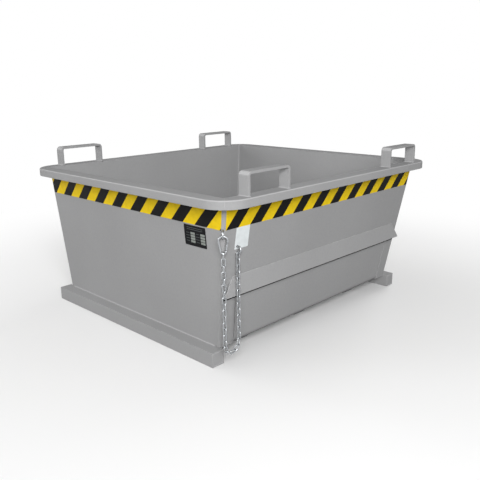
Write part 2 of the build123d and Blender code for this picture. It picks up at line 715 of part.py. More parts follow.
ROOT_HALF = sqrt(0.5)
EYE_Z = RIM_TOP - CORNER_EYE_DEPTH
corner_centre = (-(end_x(EYE_Z) - WALL_CORNER), front_y(EYE_Z) + WALL_CORNER)
corner_x = corner_centre[0] - WALL_CORNER * ROOT_HALF
corner_y = corner_centre[1] - WALL_CORNER * ROOT_HALF
eye_plane = Plane(
    (corner_x, corner_y, EYE_Z), x_dir=(-ROOT_HALF, -ROOT_HALF, 0), z_dir=(-ROOT_HALF, ROOT_HALF, 0)
)
save("chain_corner_eye", wire_eye(eye_plane) - hopper_outside)

# Snap hook, a pear of round wire that hangs from the corner eye across its lower leg
snap_x = corner_x - SNAP_STANDOFF * ROOT_HALF
snap_y = corner_y - SNAP_STANDOFF * ROOT_HALF
snap_plane = Plane(
    (snap_x, snap_y, EYE_Z), x_dir=(ROOT_HALF, -ROOT_HALF, 0), z_dir=(-ROOT_HALF, -ROOT_HALF, 0)
)
snap_high = EYE_WIRE + SNAP_SEAT_GAP + SNAP_WIRE - SNAP_TOP_RADIUS
snap_span = SNAP_LENGTH - SNAP_TOP_RADIUS - SNAP_BOTTOM_RADIUS - 2 * SNAP_WIRE
snap_low = snap_high - snap_span
snap_tilt = asin((SNAP_TOP_RADIUS - SNAP_BOTTOM_RADIUS) / snap_span)


def snap_point(centre, radius, side):
    """Where a straight side of the pear leaves one of its round ends."""
    return Vector(side * radius * cos(snap_tilt), centre - radius * sin(snap_tilt))


gate_up = Vector(sin(snap_tilt), cos(snap_tilt))
gate_foot = snap_point(snap_low, SNAP_BOTTOM_RADIUS, 1) + gate_up * GATE_FOOT
gate_pivot = gate_foot + gate_up * GATE_PIN_RISE
snap_nose = snap_point(snap_high, SNAP_TOP_RADIUS, 1) - gate_up * SNAP_NOSE


def snap_body():
    stations = [(snap_nose.X, snap_nose.Y, pi / 2 - snap_tilt)]
    stations += bow(0, snap_high, SNAP_TOP_RADIUS, -snap_tilt, pi + snap_tilt, SNAP_BOW_STEPS)
    stations += bow(0, snap_low, SNAP_BOTTOM_RADIUS, pi + snap_tilt, 2 * pi - snap_tilt, SNAP_BOW_STEPS)
    stations.append((gate_foot.X, gate_foot.Y, pi / 2 - snap_tilt))
    body = wire(stations, SNAP_WIRE, WIRE_SIDES)
    along = Plane(gate_foot, x_dir=(0, 0, 1), z_dir=gate_up)
    tang_width = 2 * GATE_WIRE
    tang = along * extrude(Rectangle(GATE_TANG, tang_width), GATE_PIN_RISE)
    across = Plane(gate_pivot, z_dir=(0, 0, 1))
    tang += across * extrude(Circle(tang_width / 2), GATE_TANG / 2, both=True)
    tang -= across * extrude(Circle(GATE_PIN_RADIUS + GATE_FIT), GATE_TANG, both=True)
    return body + tang


def snap_gate():
    reach = (snap_nose - gate_pivot).length - GATE_TIP_GAP
    along = Plane(gate_pivot, x_dir=(0, 0, 1), z_dir=gate_up)
    across = Plane(gate_pivot, z_dir=(0, 0, 1))
    gate = along * extrude(Circle(SNAP_WIRE), reach)
    gate += across * extrude(Circle(GATE_WIRE), SNAP_WIRE, both=True)
    slot_depth = 2 * GATE_WIRE
    gate -= along * (Pos(0, 0, -slot_depth) * extrude(Rectangle(GATE_SLOT, 4 * SNAP_WIRE), 2 * slot_depth))
    return gate - across * extrude(Circle(GATE_PIN_RADIUS + GATE_FIT), 2 * SNAP_WIRE, both=True)


save("snap_hook", snap_plane * snap_body())
save("snap_hook_gate", snap_plane * snap_gate())
pin_plane = Plane(gate_pivot, z_dir=(0, 0, 1))
gate_pin = pin_plane * extrude(Circle(GATE_PIN_RADIUS), GATE_PIN_LENGTH / 2, both=True)
save("gate_pin", snap_plane * gate_pin)

# Safety chain: interlocked links from the snap hook down, round a loop and up to the wall
LINK_BOW = LINK_INNER_WIDTH / 2 + LINK_WIRE
LINK_LEG = LINK_INNER_LENGTH / 2 + LINK_WIRE - LINK_BOW
LINK_STEP = LINK_INNER_LENGTH - LINK_PLAY


def chain_link():
    """A closed link in two halves that meet in the middle of its legs, long axis along Y."""
    half = [(LINK_BOW, 0, pi / 2)]
    half += bow(0, LINK_LEG, LINK_BOW, 0, pi, LINK_BOW_STEPS)
    half.append((-LINK_BOW, 0, -pi / 2))
    upper = wire(half, LINK_WIRE, LINK_SIDES)
    return upper + Rot(0, 0, 180) * upper


first_joint = Vector(snap_x, snap_y, EYE_Z + snap_low - SNAP_BOTTOM_RADIUS + SNAP_WIRE + LINK_PLAY / 2)
anchor_top = RIM_TOP - ANCHOR_DEPTH
anchor_x = ANCHOR_INSET - end_x(EYE_Z)
anchor_y = front_y(anchor_top) - ANCHOR_STANDOFF
strand_gap = Vector(anchor_x, anchor_y, first_joint.Z) - first_joint
loop_radius = strand_gap.length / 2
loop_across = strand_gap.normalized()
loop_normal = Vector(0, 0, 1).cross(loop_across)
strand_drop = (LINK_COUNT * LINK_STEP - pi * loop_radius + first_joint.Z - anchor_top) / 2


def chain_point(distance):
    """Point on the chain's line at a distance from its first joint."""
    turn_length = pi * loop_radius
    if distance <= strand_drop:
        return first_joint - Vector(0, 0, distance)
    low = first_joint - Vector(0, 0, strand_drop)
    if distance <= strand_drop + turn_length:
        turn = (distance - strand_drop) / loop_radius
        return low + loop_across * (loop_radius * (1 - cos(turn))) - Vector(0, 0, loop_radius * sin(turn))
    return low + strand_gap + Vector(0, 0, distance - strand_drop - turn_length)


def chain_joints():
    """Joints one step apart in a straight line, found by closing in on each distance."""
    halvings = 40
    joints = [first_joint]
    travelled = 0.0
    for _ in range(LINK_COUNT):
        near = travelled
        far = travelled + 2 * LINK_STEP
        for _ in range(halvings):
            middle = (near + far) / 2
            if (chain_point(middle) - joints[-1]).length < LINK_STEP:
                near = middle
            else:
                far = middle
        travelled = far
        joints.append(chain_point(travelled))
    return joints


joints = chain_joints()
link = chain_link()
strand_links = max(1, int(strand_drop / LINK_STEP))
links = []
for index in range(LINK_COUNT):
    start = joints[index]
    end = joints[index + 1]
    along = (end - start).normalized()
    flat = loop_normal.cross(along).normalized()
    twist = min(1.0, index / strand_links) * 45.0
    roll = radians(90.0 * index - 45.0 - twist)
    side = flat * cos(roll) + loop_normal * sin(roll)
    links.append(Plane((start + end) * 0.5, x_dir=side, z_dir=side.cross(along)) * link)
save("safety_chain", links)

last_joint = joints[-1]
anchor_z = last_joint.Z - LINK_PLAY / 2 - EYE_WIRE
anchor_plane = Plane((last_joint.X, front_y(anchor_z), anchor_z), x_dir=(0, -1, 0), z_dir=(-1, 0, 0))
save("chain_wall_eye", wire_eye(anchor_plane) - hopper_depth)
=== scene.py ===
import json
import math

import bmesh
import bpy
import numpy as np
from mathutils import Matrix, Vector


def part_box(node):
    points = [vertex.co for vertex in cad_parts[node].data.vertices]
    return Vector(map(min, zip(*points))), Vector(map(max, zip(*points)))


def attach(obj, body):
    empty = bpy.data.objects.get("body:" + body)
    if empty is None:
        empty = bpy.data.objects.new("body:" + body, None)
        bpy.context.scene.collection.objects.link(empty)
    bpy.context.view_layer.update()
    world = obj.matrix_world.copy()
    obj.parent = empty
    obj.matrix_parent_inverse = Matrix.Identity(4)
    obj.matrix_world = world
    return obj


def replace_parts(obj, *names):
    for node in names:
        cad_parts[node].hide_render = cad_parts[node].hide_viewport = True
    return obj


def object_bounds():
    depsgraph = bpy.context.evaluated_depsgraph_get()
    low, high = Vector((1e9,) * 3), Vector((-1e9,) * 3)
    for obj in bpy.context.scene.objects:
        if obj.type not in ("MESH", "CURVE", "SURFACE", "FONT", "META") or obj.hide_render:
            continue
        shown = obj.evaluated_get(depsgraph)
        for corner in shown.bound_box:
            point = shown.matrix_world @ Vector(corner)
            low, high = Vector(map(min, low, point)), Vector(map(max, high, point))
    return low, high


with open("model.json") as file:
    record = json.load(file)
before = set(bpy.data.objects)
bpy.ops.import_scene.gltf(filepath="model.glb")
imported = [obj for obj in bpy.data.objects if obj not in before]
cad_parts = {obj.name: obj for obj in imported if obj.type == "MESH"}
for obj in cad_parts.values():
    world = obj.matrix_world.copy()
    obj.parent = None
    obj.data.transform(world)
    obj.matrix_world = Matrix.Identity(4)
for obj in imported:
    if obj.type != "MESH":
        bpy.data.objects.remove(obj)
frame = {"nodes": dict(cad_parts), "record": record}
nodes = frame["nodes"]
cad_low, cad_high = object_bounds()
joints = {joint["name"]: joint for joint in frame["record"]["behaviour"]["joints"]}

# Camera, fitted to the rim's corners in the picture
CAMERA_POSITION = Vector((-1.71245, -1.70558, 0.88453))
CAMERA_AZIMUTH = math.radians(-45.61)
CAMERA_ELEVATION = math.radians(15.05)
CAMERA_ROLL = math.radians(-0.72)
SENSOR_WIDTH = 36.0
LENS = 44.22

# Directions: up, out of the front wall, and out of the left front corner
UP = Vector((0, 0, 1))
FORWARD = Vector((0, -1, 0))
DIAGONAL = Vector((-1, -1, 0)).normalized()

# Walls of the hopper, lugs and rails
END_TAPER = math.radians(5.0)
FRONT_TAPER = math.radians(9.5)
BACK_TAPER = math.radians(2.0)
LUG_BAR = 0.008
RAIL_SHEET = 0.004
RIM_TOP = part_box("rim_front")[1].z
WALL_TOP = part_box("front_wall")[1].z
WALL_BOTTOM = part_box("back_wall")[0].z

# Plate on the left end wall and label on the front wall
PLATE_SIZE = (0.100, 0.068)
PLATE_THICKNESS = 0.0012
PLATE_CORNER = 0.003
PLATE_CENTRE_Y = -0.3605
PLATE_DEPTH = 0.140
CELL_THICKNESS = 0.0003
CELL_CORNER = 0.0006
CELL_COLUMNS = (-0.010, 0.036)
CELL_ROWS = (0.008, -0.001, -0.010, -0.019)
CELL_SIZE = (0.020, 0.0072)
LINE_LENGTH = 0.016
LINE_HEIGHT = 0.0016
LINE_OFFSET = -0.023
HEADER_LINES = (0.026, 0.020)
HEADER_LENGTH = 0.072
LABEL_SIZE = (0.059, 0.077)
LABEL_THICKNESS = 0.0004
LABEL_CORNER = 0.002
LABEL_CENTRE_X = -0.455
LABEL_DEPTH = 0.135
SLAB_CORNER_STEPS = 4
SLAB_SOFT_SHARE = 0.35

# Welds
BEAD_RADIUS = 0.0032
FINE_BEAD = 0.0018
BAR_BEAD = 0.0022
WEIGHT_BEAD = 0.0025
BEAD_RIPPLE = 0.0045
BEAD_VALLEY_SHARE = 0.86
BEAD_END_SHARE = 0.55
BEAD_SIDES = 8
RING_STEPS = 20
STITCH_LENGTH = 0.050
STITCH_STEP = 0.160
WALL_BEAD_INSET = 0.020
BEARING_BEAD_FOOT = 0.004
BEARING_BEAD_HEAD = 0.003
STRIKER_BEAD_INSET = 0.003

# Chain, snap hook and eyes
WIRE_SIDES = 14
BOW_STEPS = 16
LINK_BOW_STEPS = 8
LINK_WIRE = 0.0020
LINK_INNER_LENGTH = 0.021
LINK_INNER_WIDTH = 0.0072
EYE_WIRE = 0.003
EYE_SPREAD = 0.0235
EYE_REACH = 0.009
EYE_ROOT = 0.0015
SNAP_WIRE = 0.003
SNAP_STANDOFF = 0.010
SNAP_TOP_RADIUS = 0.014
SNAP_BOTTOM_RADIUS = 0.008
SNAP_LENGTH = 0.060
SNAP_SEAT_GAP = 0.0003
SNAP_NOSE = 0.004
GATE_FOOT = 0.004
GATE_PIN_RISE = 0.0042
TANG_WIDTH = 0.0052
TANG_THICKNESS = 0.0022
TANG_STEPS = 12
POINT_DIGITS = 6

# Materials
PAINT_GREY = (0.335, 0.335, 0.338)
PAINT_ROUGHNESS = 0.48
WELD_SHADE = 0.97
EDGE_WEAR_AND_HIGHLIGHT_RADIUS = 0.0025
SOFT_EDGE = 0.0012
GAP_SHADE_INNER = 0.0165
GAP_SHADE_OUTER = 0.0180
GAP_SHADE_HALF_LENGTH = 0.513

# Stage
FLOOR_HALF = 14.0
FLOOR_NEAR = 0.7
FLOOR_FAR = 2.4
FLOOR_DROP = 0.0005
FLOOR_SEEN = 0.88
FLOOR_LIT = 0.30
HORIZON_LIGHT = 0.18
ZENITH_LIGHT = 0.32
LAMP_TARGET = Vector((0, 0, 0.4))


# Shader helpers
def new_material(name):
    material = bpy.data.materials.new(name)
    material.use_nodes = True
    tree = material.node_tree
    return material, tree.nodes, tree.links, tree.nodes["Principled BSDF"]


def noise(kit, links, coordinates, scale, detail):
    node = kit.new("ShaderNodeTexNoise")
    node.inputs["Scale"].default_value = scale
    node.inputs["Detail"].default_value = detail
    links.new(coordinates, node.inputs["Vector"])
    return node.outputs["Fac"]


def ramp(kit, links, factor, stops):
    """A colour ramp through (position, colour) stops."""
    node = kit.new("ShaderNodeValToRGB")
    elements = node.color_ramp.elements
    while len(elements) < len(stops):
        elements.new(0.5)
    for element, (position, colour) in zip(elements, stops):
        element.position = position
        element.color = (*colour, 1.0)
    links.new(factor, node.inputs["Fac"])
    return node.outputs["Color"]


def mixed(kit, links, blend, factor, first, second):
    """Two colours mixed; factor is a number or a socket."""
    node = kit.new("ShaderNodeMix")
    node.data_type = "RGBA"
    node.blend_type = blend
    if isinstance(factor, float):
        node.inputs["Factor"].default_value = factor
    else:
        links.new(factor, node.inputs["Factor"])
    links.new(first, node.inputs["A"])
    links.new(second, node.inputs["B"])
    return node.outputs["Result"]


def grey(value):
    return (value, value, value)


def shaded(colour, share):
    return tuple(channel * share for channel in colour)


def bump(kit, links, height, strength, distance, normal=None):
    node = kit.new("ShaderNodeBump")
    node.inputs["Strength"].default_value = strength
    node.inputs["Distance"].default_value = distance
    links.new(height, node.inputs["Height"])
    if normal:
        links.new(normal, node.inputs["Normal"])
    return node.outputs["Normal"]


def rounded_normal(kit, radius):
    node = kit.new("ShaderNodeBevel")
    node.inputs["Radius"].default_value = radius
    node.samples = 6
    return node.outputs["Normal"]


def edge_mask(kit, links, radius):
    """Near 1 along edges, where a rounded normal departs from the true one."""
    facing = kit.new("ShaderNodeVectorMath")
    facing.operation = "DOT_PRODUCT"
    links.new(rounded_normal(kit, radius), facing.inputs[0])
    links.new(kit.new("ShaderNodeNewGeometry").outputs["Normal"], facing.inputs[1])
    return ramp(kit, links, facing.outputs["Value"], [(0.80, grey(1.0)), (0.99, grey(0.0))])


def painted_gap_shade_mask(kit, links, place):
    """Painted shade mask: 1 close to the flap hinge's axis and between the end walls, 0 outside the lip that
    covers it.
    """
    square_on = kit.new("ShaderNodeVectorMath")
    square_on.operation = "MULTIPLY"
    square_on.inputs[1].default_value = (0.0, 1.0, 1.0)
    links.new(place, square_on.inputs[0])
    reach = kit.new("ShaderNodeVectorMath")
    reach.operation = "DISTANCE"
    reach.inputs[1].default_value = (0.0, *joints["flap_hinge"]["pos_m"][1:])
    links.new(square_on.outputs["Vector"], reach.inputs[0])
    fade = kit.new("ShaderNodeMapRange")
    fade.inputs["From Min"].default_value = GAP_SHADE_OUTER
    fade.inputs["From Max"].default_value = GAP_SHADE_INNER
    links.new(reach.outputs["Value"], fade.inputs["Value"])
    along = kit.new("ShaderNodeSeparateXYZ")
    links.new(place, along.inputs["Vector"])
    inside = kit.new("ShaderNodeMath")
    inside.operation = "COMPARE"
    inside.inputs[1].default_value = 0.0
    inside.inputs[2].default_value = GAP_SHADE_HALF_LENGTH
    links.new(along.outputs["X"], inside.inputs[0])
    mask = kit.new("ShaderNodeMath")
    mask.operation = "MULTIPLY"
    links.new(fade.outputs["Result"], mask.inputs[0])
    links.new(inside.outputs["Value"], mask.inputs[1])
    return mask.outputs["Value"]


def painted_bend_highlight_mask(kit, links):
    """Painted highlight mask: 1 on bends and beads that face up and out, 0 on level and upright faces."""
    facing = kit.new("ShaderNodeSeparateXYZ")
    links.new(kit.new("ShaderNodeTexCoord").outputs["Normal"], facing.inputs["Vector"])
    stops = [(0.10, grey(0.0)), (0.25, grey(1.0)), (0.90, grey(1.0)), (0.97, grey(0.0))]
    return ramp(kit, links, facing.outputs["Z"], stops)


# Materials of the slots and of the scene's own pieces
def paint_material(name, colour):
    """Powder coat: fine orange peel, cloudy tone, a painted highlight on bends that face up and out, edges
    paler from wear and a painted edge highlight, and painted shade round the hinge under the lip.
    """
    material, kit, links, shader = new_material(name)
    place = kit.new("ShaderNodeTexCoord").outputs["Object"]
    clouds = noise(kit, links, place, scale=2.6, detail=4.0)
    base = ramp(kit, links, clouds, [(0.25, shaded(colour, 0.95)), (0.75, shaded(colour, 1.05))])
    dust = noise(kit, links, place, scale=160.0, detail=2.0)
    specks = ramp(kit, links, dust, [(0.30, grey(0.92)), (0.60, grey(1.0))])
    flat = mixed(kit, links, "MULTIPLY", 0.5, base, specks)
    # Painted highlight: a paler coat on bends and beads that face up and out, standing in for the glint along
    # the rim's bend.
    bend_highlight = ramp(kit, links, clouds, [(0.0, shaded(colour, 1.18)), (1.0, shaded(colour, 1.30))])
    tone = mixed(kit, links, "MIX", painted_bend_highlight_mask(kit, links), flat, bend_highlight)
    scratches = noise(kit, links, place, scale=35.0, detail=6.0)
    scuffs = ramp(kit, links, scratches, [(0.42, grey(0.15)), (0.62, grey(0.85))])
    # Edges: paler paint along edges, partly wear and partly a painted highlight on their rounding.
    edge_wear_and_highlight = mixed(kit, links, "MULTIPLY", 1.0, edge_mask(kit, links, EDGE_WEAR_AND_HIGHLIGHT_RADIUS), scuffs)
    pale = ramp(kit, links, clouds, [(0.0, shaded(colour, 1.30)), (1.0, shaded(colour, 1.45))])
    worn_and_highlit = mixed(kit, links, "MIX", edge_wear_and_highlight, tone, pale)
    # Painted shade: near-black paint round the hinge, standing in for the shadow in the gap under the lip.
    painted_gap_shade = ramp(kit, links, clouds, [(0.0, shaded(colour, 0.06)), (1.0, shaded(colour, 0.12))])
    coat = mixed(kit, links, "MIX", painted_gap_shade_mask(kit, links, place), worn_and_highlit, painted_gap_shade)
    links.new(coat, shader.inputs["Base Color"])
    smear = noise(kit, links, place, scale=9.0, detail=5.0)
    smooth = grey(PAINT_ROUGHNESS - 0.06)
    rough = grey(PAINT_ROUGHNESS + 0.08)
    links.new(ramp(kit, links, smear, [(0.3, smooth), (0.7, rough)]), shader.inputs["Roughness"])
    shader.inputs["Specular IOR Level"].default_value = 0.0
    peel = noise(kit, links, place, scale=420.0, detail=2.0)
    skin = bump(kit, links, peel, strength=0.15, distance=0.0005, normal=rounded_normal(kit, SOFT_EDGE))
    links.new(skin, shader.inputs["Normal"])
    return material


def metal_material(name, colour, smooth, rough, grain):
    """Bare or plated steel between two roughnesses; a grain below 1 stretches its streaks along X."""
    material, kit, links, shader = new_material(name)
    place = kit.new("ShaderNodeTexCoord").outputs["Object"]
    stretch = kit.new("ShaderNodeMapping")
    stretch.inputs["Scale"].default_value = (grain, 1.0, 1.0)
    links.new(place, stretch.inputs["Vector"])
    streaks = noise(kit, links, stretch.outputs["Vector"], scale=380.0, detail=3.0)
    tint = ramp(kit, links, streaks, [(0.3, shaded(colour, 0.80)), (0.7, shaded(colour, 1.10))])
    links.new(tint, shader.inputs["Base Color"])
    blotch = noise(kit, links, place, scale=60.0, detail=4.0)
    links.new(ramp(kit, links, blotch, [(0.3, grey(smooth)), (0.7, grey(rough))]), shader.inputs["Roughness"])
    shader.inputs["Metallic"].default_value = 1.0
    links.new(bump(kit, links, streaks, strength=0.12, distance=0.0004), shader.inputs["Normal"])
    return material


def film_material(name, colour, roughness):
    """Printed adhesive film, slightly uneven where it follows the wall."""
    material, kit, links, shader = new_material(name)
    place = kit.new("ShaderNodeTexCoord").outputs["Object"]
    print_grain = noise(kit, links, place, scale=55.0, detail=4.0)
    tint = ramp(kit, links, print_grain, [(0.3, shaded(colour, 0.92)), (0.7, shaded(colour, 1.04))])
    links.new(tint, shader.inputs["Base Color"])
    wear = noise(kit, links, place, scale=18.0, detail=5.0)
    smooth = grey(roughness - 0.08)
    rough = grey(roughness + 0.10)
    links.new(ramp(kit, links, wear, [(0.3, smooth), (0.7, rough)]), shader.inputs["Roughness"])
    shader.inputs["Specular IOR Level"].default_value = 0.05
    ripple = noise(kit, links, place, scale=30.0, detail=2.0)
    links.new(bump(kit, links, ripple, strength=0.10, distance=0.0008), shader.inputs["Normal"])
    return material


def casting_material(name, colour):
    """Dark skin of a casting, or near-black hinge steel whose dark colour is painted shade in the gap under
    the lip; slightly sandy.
    """
    material, kit, links, shader = new_material(name)
    place = kit.new("ShaderNodeTexCoord").outputs["Object"]
    sand = noise(kit, links, place, scale=240.0, detail=5.0)
    tint = ramp(kit, links, sand, [(0.3, shaded(colour, 0.8)), (0.7, shaded(colour, 1.4))])
    links.new(tint, shader.inputs["Base Color"])
    links.new(ramp(kit, links, sand, [(0.3, grey(0.45)), (0.7, grey(0.65))]), shader.inputs["Roughness"])
    links.new(bump(kit, links, sand, strength=0.5, distance=0.0010), shader.inputs["Normal"])
    return material


materials = {
    "grey_paint": paint_material("grey_paint", PAINT_GREY),
    "bright_steel": metal_material("bright_steel", (0.50, 0.50, 0.49), smooth=0.28, rough=0.42, grain=0.05),
    # Painted shade: the hinge's near-black steel stands in for the shadow in the gap under the lip.
    "dark_steel": casting_material("dark_steel", (0.016, 0.016, 0.015)),
    "zinc": metal_material("zinc", (0.42, 0.435, 0.45), smooth=0.26, rough=0.42, grain=1.0),
    "cast_weight": casting_material("cast_weight", (0.030, 0.030, 0.032)),
    "tape_yellow": film_material("tape_yellow", (0.81, 0.57, 0.014), roughness=0.52),
    "tape_black": film_material("tape_black", (0.008, 0.008, 0.008), roughness=0.55),
}
plate_black = film_material("plate_black", (0.009, 0.009, 0.010), roughness=0.50)
plate_cell = film_material("plate_cell", (0.25, 0.27, 0.25), roughness=0.50)
plate_line = film_material("plate_line", (0.09, 0.10, 0.10), roughness=0.50)
label_white = film_material("label_white", (0.72, 0.76, 0.77), roughness=0.45)
weld_paint = paint_material("weld_paint", shaded(PAINT_GREY, WELD_SHADE))

for row in frame["record"]["subparts"]:
    mesh = nodes[row["node"]].data
    mesh.materials.clear()
    mesh.materials.append(materials[row["material_slot"]])


# Mesh helpers
def add_piece(name, builder, material, body, smooth=False):
    """Turn a bmesh into an object that moves with a body."""
    mesh = bpy.data.meshes.new(name)
    bmesh.ops.recalc_face_normals(builder, faces=builder.faces)
    builder.to_mesh(mesh)
    builder.free()
    mesh.materials.append(material)
    for polygon in mesh.polygons:
        polygon.use_smooth = smooth
    piece = bpy.data.objects.new(name, mesh)
    bpy.context.scene.collection.objects.link(piece)
    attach(piece, body)
    return piece


def tube_rings(builder, rings, closed):
    """Skin a list of vertex rings; an open tube gets caps."""
    count = len(rings[0])
    pairs = list(zip(rings, rings[1:]))
    if closed:
        pairs.append((rings[-1], rings[0]))
    for first, second in pairs:
        for i in range(count):
            j = (i + 1) % count
            builder.faces.new((first[i], first[j], second[j], second[i]))
    if not closed:
        builder.faces.new(list(reversed(rings[0])))
        builder.faces.new(rings[-1])


def bead(builder, points, radius=BEAD_RADIUS, closed=False):
    """A rippled weld bead along straight runs between points."""
    corners = [Vector(point) for point in points]
    if closed:
        corners.append(corners[0])
    stations = []
    for start, end in zip(corners, corners[1:]):
        steps = max(2, round((end - start).length / (BEAD_RIPPLE / 2)))
        stations += [start.lerp(end, step / steps) for step in range(steps)]
    if not closed:
        stations.append(corners[-1])
    total = len(stations)
    rings = []
    for index, station in enumerate(stations):
        ahead = stations[(index + 1) % total] if closed else stations[min(index + 1, total - 1)]
        behind = stations[index - 1] if closed or index else stations[0]
        tangent = (ahead - behind).normalized()
        side = tangent.orthogonal().normalized()
        other = tangent.cross(side)
        taper = 1.0 if closed or 0 < index < total - 1 else BEAD_END_SHARE
        size = radius * taper * (1.0 if index % 2 else BEAD_VALLEY_SHARE)
        ring = []
        for corner in range(BEAD_SIDES):
            turn = 2 * math.pi * corner / BEAD_SIDES
            ring.append(builder.verts.new(station + (side * math.cos(turn) + other * math.sin(turn)) * size))
        rings.append(ring)
    tube_rings(builder, rings, closed)


def stitches(builder, start, end):
    """Short beads at even steps from start to end."""
    start = Vector(start)
    end = Vector(end)
    run = end - start
    count = max(1, round(run.length / STITCH_STEP))
    half = run.normalized() * STITCH_LENGTH / 2
    for index in range(count):
        middle = start + run * (index + 0.5) / count
        bead(builder, (middle - half, middle + half))


def ring_bead(builder, centre, axis, ring_radius, radius=FINE_BEAD):
    """A bead round a bar, in the plane square to an axis."""
    axis = Vector(axis).normalized()
    side = axis.orthogonal().normalized()
    other = axis.cross(side)
    angles = [2 * math.pi * step / RING_STEPS for step in range(RING_STEPS)]
    points = [Vector(centre) + (side * math.cos(a) + other * math.sin(a)) * ring_radius for a in angles]
    bead(builder, points, radius, closed=True)


def islands(node):
    """The separate solids of a CAD node, each as an array of its points."""
    mesh = nodes[node].data
    points = np.array([vertex.co for vertex in mesh.vertices])
    keys = {}
    label = np.array([keys.setdefault(tuple(np.round(p, POINT_DIGITS)), len(keys)) for p in points])
    parent = list(range(len(keys)))

    def find(i):
        while parent[i] != i:
            parent[i] = parent[parent[i]]
            i = parent[i]
        return i

    for edge in mesh.edges:
        a, b = (find(label[v]) for v in edge.vertices)
        parent[a] = b
    groups = {}
    for index, key in enumerate(label):
        groups.setdefault(find(key), []).append(index)
    return [points[indices] for indices in groups.values()]


def spans(node):
    """Lowest and highest corner of each solid of a CAD node, in order along X."""
    boxes = [(Vector(p.min(axis=0)), Vector(p.max(axis=0))) for p in islands(node)]
    return sorted(boxes, key=lambda box: box[0].x)


def end_x(z):
    """Outside of the right end wall at height z."""
    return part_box("right_end_wall")[1].x - (WALL_TOP - z) * math.tan(END_TAPER)


def front_y(z):
    """Outside of the front wall at height z."""
    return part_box("left_end_wall")[0].y + (WALL_TOP - z) * math.tan(FRONT_TAPER)


def back_y(z):
    """Outside of the back wall at height z."""
    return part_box("left_end_wall")[1].y - (WALL_TOP - z) * math.tan(BACK_TAPER)


def plane_matrix(origin, u, normal):
    """Matrix of a flat piece: u to the right, then up, then the normal."""
    u = Vector(u).normalized()
    normal = Vector(normal).normalized()
    matrix = Matrix((u, normal.cross(u), normal)).transposed().to_4x4()
    matrix.translation = Vector(origin)
    return matrix


def slab(builder, matrix, width, height, thickness, corner, lift=0.0):
    """A thin plate with round corners and a softened edge, standing on the plane of a matrix."""
    outline = []
    for quarter, (sx, sy) in enumerate(((1, 1), (-1, 1), (-1, -1), (1, -1))):
        for step in range(SLAB_CORNER_STEPS + 1):
            turn = math.pi / 2 * (quarter + step / SLAB_CORNER_STEPS)
            x = sx * (width / 2 - corner) + corner * math.cos(turn)
            y = sy * (height / 2 - corner) + corner * math.sin(turn)
            outline.append((x, y))
    soft = thickness * SLAB_SOFT_SHARE
    rings = []
    for level, inset in ((0.0, 0.0), (thickness - soft, 0.0), (thickness, soft)):
        ring = []
        for x, y in outline:
            spot = Vector((x * (1 - 2 * inset / width), y * (1 - 2 * inset / height), level + lift))
            ring.append(builder.verts.new(matrix @ spot))
        rings.append(ring)
    tube_rings(builder, rings, False)


def bow(u, v, radius, start, end, steps=BOW_STEPS):
    """Stations (u, v, direction) round an arc that turns left."""
    stations = []
    for step in range(steps + 1):
        turn = start + (end - start) * step / steps
        stations.append((u + radius * math.cos(turn), v + radius * math.sin(turn), turn + math.pi / 2))
    return stations


def wire(builder, matrix, stations, radius, closed=False):
    """Round wire through stations in the plane of a matrix."""
    rings = []
    for u, v, turn in stations:
        ring = []
        for corner in range(WIRE_SIDES):
            angle = 2 * math.pi * corner / WIRE_SIDES
            across = radius * math.cos(angle)
            above = radius * math.sin(angle)
            spot = Vector((u - across * math.sin(turn), v + across * math.cos(turn), above))
            ring.append(builder.verts.new(matrix @ spot))
        rings.append(ring)
    tube_rings(builder, rings, closed)


# Plate with bare cells and plain lines on the left end wall
plate_z = RIM_TOP - PLATE_DEPTH
plate_normal = (-math.cos(END_TAPER), 0, -math.sin(END_TAPER))
plate_place = plane_matrix((-end_x(plate_z), PLATE_CENTRE_Y, plate_z), FORWARD, plate_normal)
builder = bmesh.new()
slab(builder, plate_place, *PLATE_SIZE, PLATE_THICKNESS, PLATE_CORNER)
add_piece("rating_plate", builder, plate_black, "hopper")

cells = bmesh.new()
lines = bmesh.new()
for level in HEADER_LINES:
    line_place = plate_place @ Matrix.Translation((0, level, 0))
    slab(lines, line_place, HEADER_LENGTH, LINE_HEIGHT, CELL_THICKNESS, CELL_CORNER, PLATE_THICKNESS)
for column in CELL_COLUMNS:
    for level in CELL_ROWS:
        cell_place = plate_place @ Matrix.Translation((column, level, 0))
        slab(cells, cell_place, *CELL_SIZE, CELL_THICKNESS, CELL_CORNER, PLATE_THICKNESS)
        line_place = plate_place @ Matrix.Translation((column + LINE_OFFSET, level, 0))
        slab(lines, line_place, LINE_LENGTH, LINE_HEIGHT, CELL_THICKNESS, CELL_CORNER, PLATE_THICKNESS)
add_piece("rating_plate_cells", cells, plate_cell, "hopper")
add_piece("rating_plate_lines", lines, plate_line, "hopper")

# Bare white label on the front wall
label_z = RIM_TOP - LABEL_DEPTH
label_normal = (0, -math.cos(FRONT_TAPER), -math.sin(FRONT_TAPER))
label_place = plane_matrix((LABEL_CENTRE_X, front_y(label_z), label_z), (1, 0, 0), label_normal)
builder = bmesh.new()
slab(builder, label_place, *LABEL_SIZE, LABEL_THICKNESS, LABEL_CORNER)
add_piece("bare_label", builder, label_white, "hopper")

